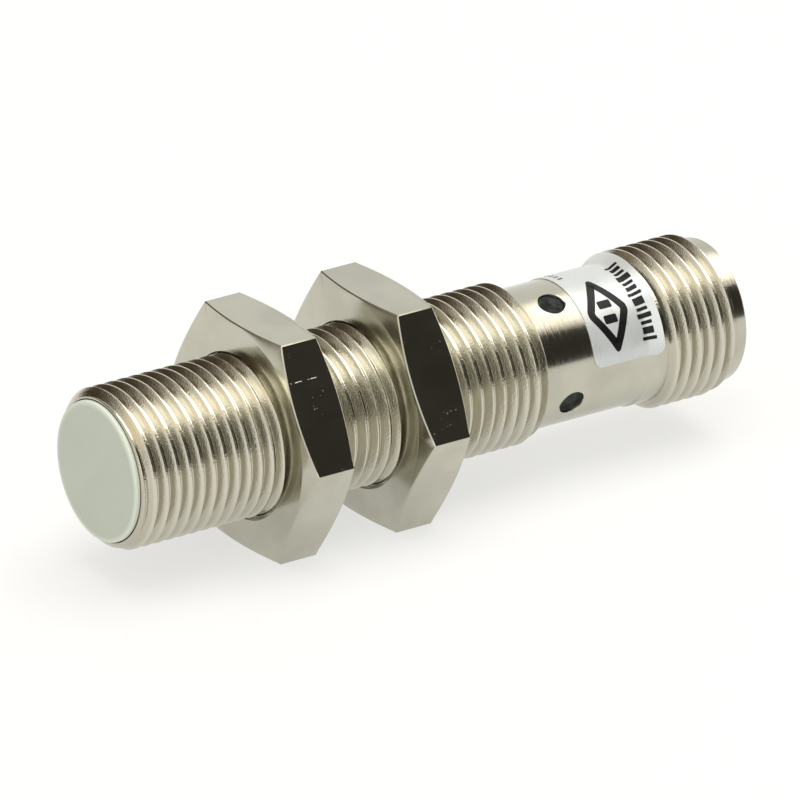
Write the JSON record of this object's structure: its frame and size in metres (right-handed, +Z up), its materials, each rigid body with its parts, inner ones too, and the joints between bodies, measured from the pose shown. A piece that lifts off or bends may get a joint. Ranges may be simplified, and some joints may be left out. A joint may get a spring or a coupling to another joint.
{
  "type": "proximity sensor",
  "caption": "Threaded cylindrical inductive proximity sensor with a flat plastic sensing face, indicator windows, a plug end and hexagon mounting nuts.",
  "frame": {"origin": "middle of the sensing face", "axes": "+X along the barrel from the sensing face back to the plug, +Z up through a flat of each nut, lying on the opposite flats"},
  "size_m": [0.053, 0.0196, 0.017],
  "materials": {
    "plated_brass": "nickel plated, turned, semi-bright",
    "plated_nuts": "nickel plated, milled flats, bright",
    "cap_plastic": "matt grey-green PBT",
    "ferrite": "matt sintered ferrite",
    "bobbin_plastic": "natural plastic",
    "copper_wire": "enamelled copper, brass density stands in",
    "holder_plastic": "black plastic",
    "board": "green solder mask",
    "component_black": "moulded black epoxy",
    "tantalum": "yellow moulded case",
    "ceramic_part": "fired ceramic",
    "lamp": "clear epoxy over an amber die",
    "lens": "dark green glossy lens",
    "guide": "clear plastic",
    "film": "silvered film, satin",
    "insert_plastic": "black plastic",
    "seal_rubber": "nitrile rubber",
    "gilt": "gold flash over brass",
    "resin": "dark casting resin"
  },
  "bodies": {
    "sensor": {"housing_barrel": "plated_brass", "sensing_cap": "cap_plastic", "ferrite_core": "ferrite", "coil_bobbin": "bobbin_plastic", "coil_winding": "copper_wire", "coil_leads": "copper_wire", "core_holder": "holder_plastic", "circuit_board": "board", "oscillator_chip": "component_black", "tantalum_capacitor": "tantalum", "output_transistor": "component_black", "protection_diode": "component_black", "ceramic_capacitors": "ceramic_part", "chip_resistors": "component_black", "indicator_leds": "lamp", "light_guide": "guide", "window_lenses": "lens", "rating_label": "film", "contact_carrier": "insert_plastic", "insert_seal": "seal_rubber", "contact_wires": "copper_wire", "contact_pin_1": "gilt", "contact_pin_2": "gilt", "contact_pin_3": "gilt", "contact_pin_4": "gilt", "potting_resin": "resin"},
    "front_nut": {"front_nut": "plated_nuts"},
    "rear_nut": {"rear_nut": "plated_nuts"}
  },
  "joints": [
    {"name": "front_nut_travel", "type": "slide", "parent": "sensor", "child": "front_nut", "axis": [1, 0, 0], "range_m": [-0.011, 0.0029]},
    {"name": "rear_nut_travel", "type": "slide", "parent": "sensor", "child": "rear_nut", "axis": [1, 0, 0], "range_m": [-0.0029, 0.0089]}
  ]
}
